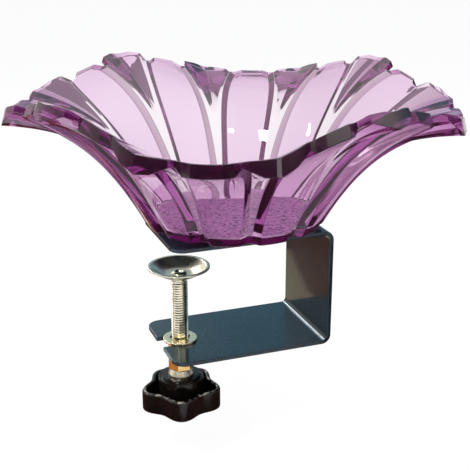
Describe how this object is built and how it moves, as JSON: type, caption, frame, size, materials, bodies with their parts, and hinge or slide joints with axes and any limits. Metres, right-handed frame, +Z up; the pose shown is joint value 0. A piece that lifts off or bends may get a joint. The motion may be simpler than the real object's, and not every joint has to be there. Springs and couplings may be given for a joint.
{
  "type": "railing bird bath",
  "caption": "Clear purple flower-shaped bowl on a dark C-shaped strap bracket that clamps on a rail with a knob, screw and dished pressure pad.",
  "frame": {"origin": "underside of the top plate, on the bowl's axis: the face that rests on the rail", "axes": "+Z up along the bowl's axis; the bracket's upright is at +X and its open side faces -X; Y runs along the rail"},
  "size_m": [0.2484, 0.2484, 0.1953],
  "materials": {
    "purple_acrylic": "clear tinted acrylic, polished",
    "bond": "matt black",
    "dark_coat": "dark slate-blue powder coat, semi-gloss, fine sparkle",
    "brass": "turned brass",
    "zinc": "bright zinc plate",
    "black_plastic": "black moulded plastic"
  },
  "bodies": {
    "frame": {"bracket": "dark_coat", "bowl": "purple_acrylic", "bonding_pad": "bond", "thread_bush": "brass"},
    "pad": {"pressure_pad": "zinc"},
    "screw": {"clamp_screw": "zinc", "knob": "black_plastic", "knob_collar": "zinc"}
  },
  "joints": [
    {"name": "pad_slide", "type": "slide", "parent": "frame", "child": "pad", "axis": [0, 0, 1], "range_m": [-0.0375, 0]},
    {"name": "screw_turn", "type": "hinge", "parent": "pad", "child": "screw", "pos_m": [-0.034, 0, -0.06], "axis": [0, 0, 1], "range_deg": [-9000, 0]}
  ],
  "couplings": [
    {"joint": "pad_slide", "follows": "screw_turn", "m_per_rad": 0.00023873}
  ]
}
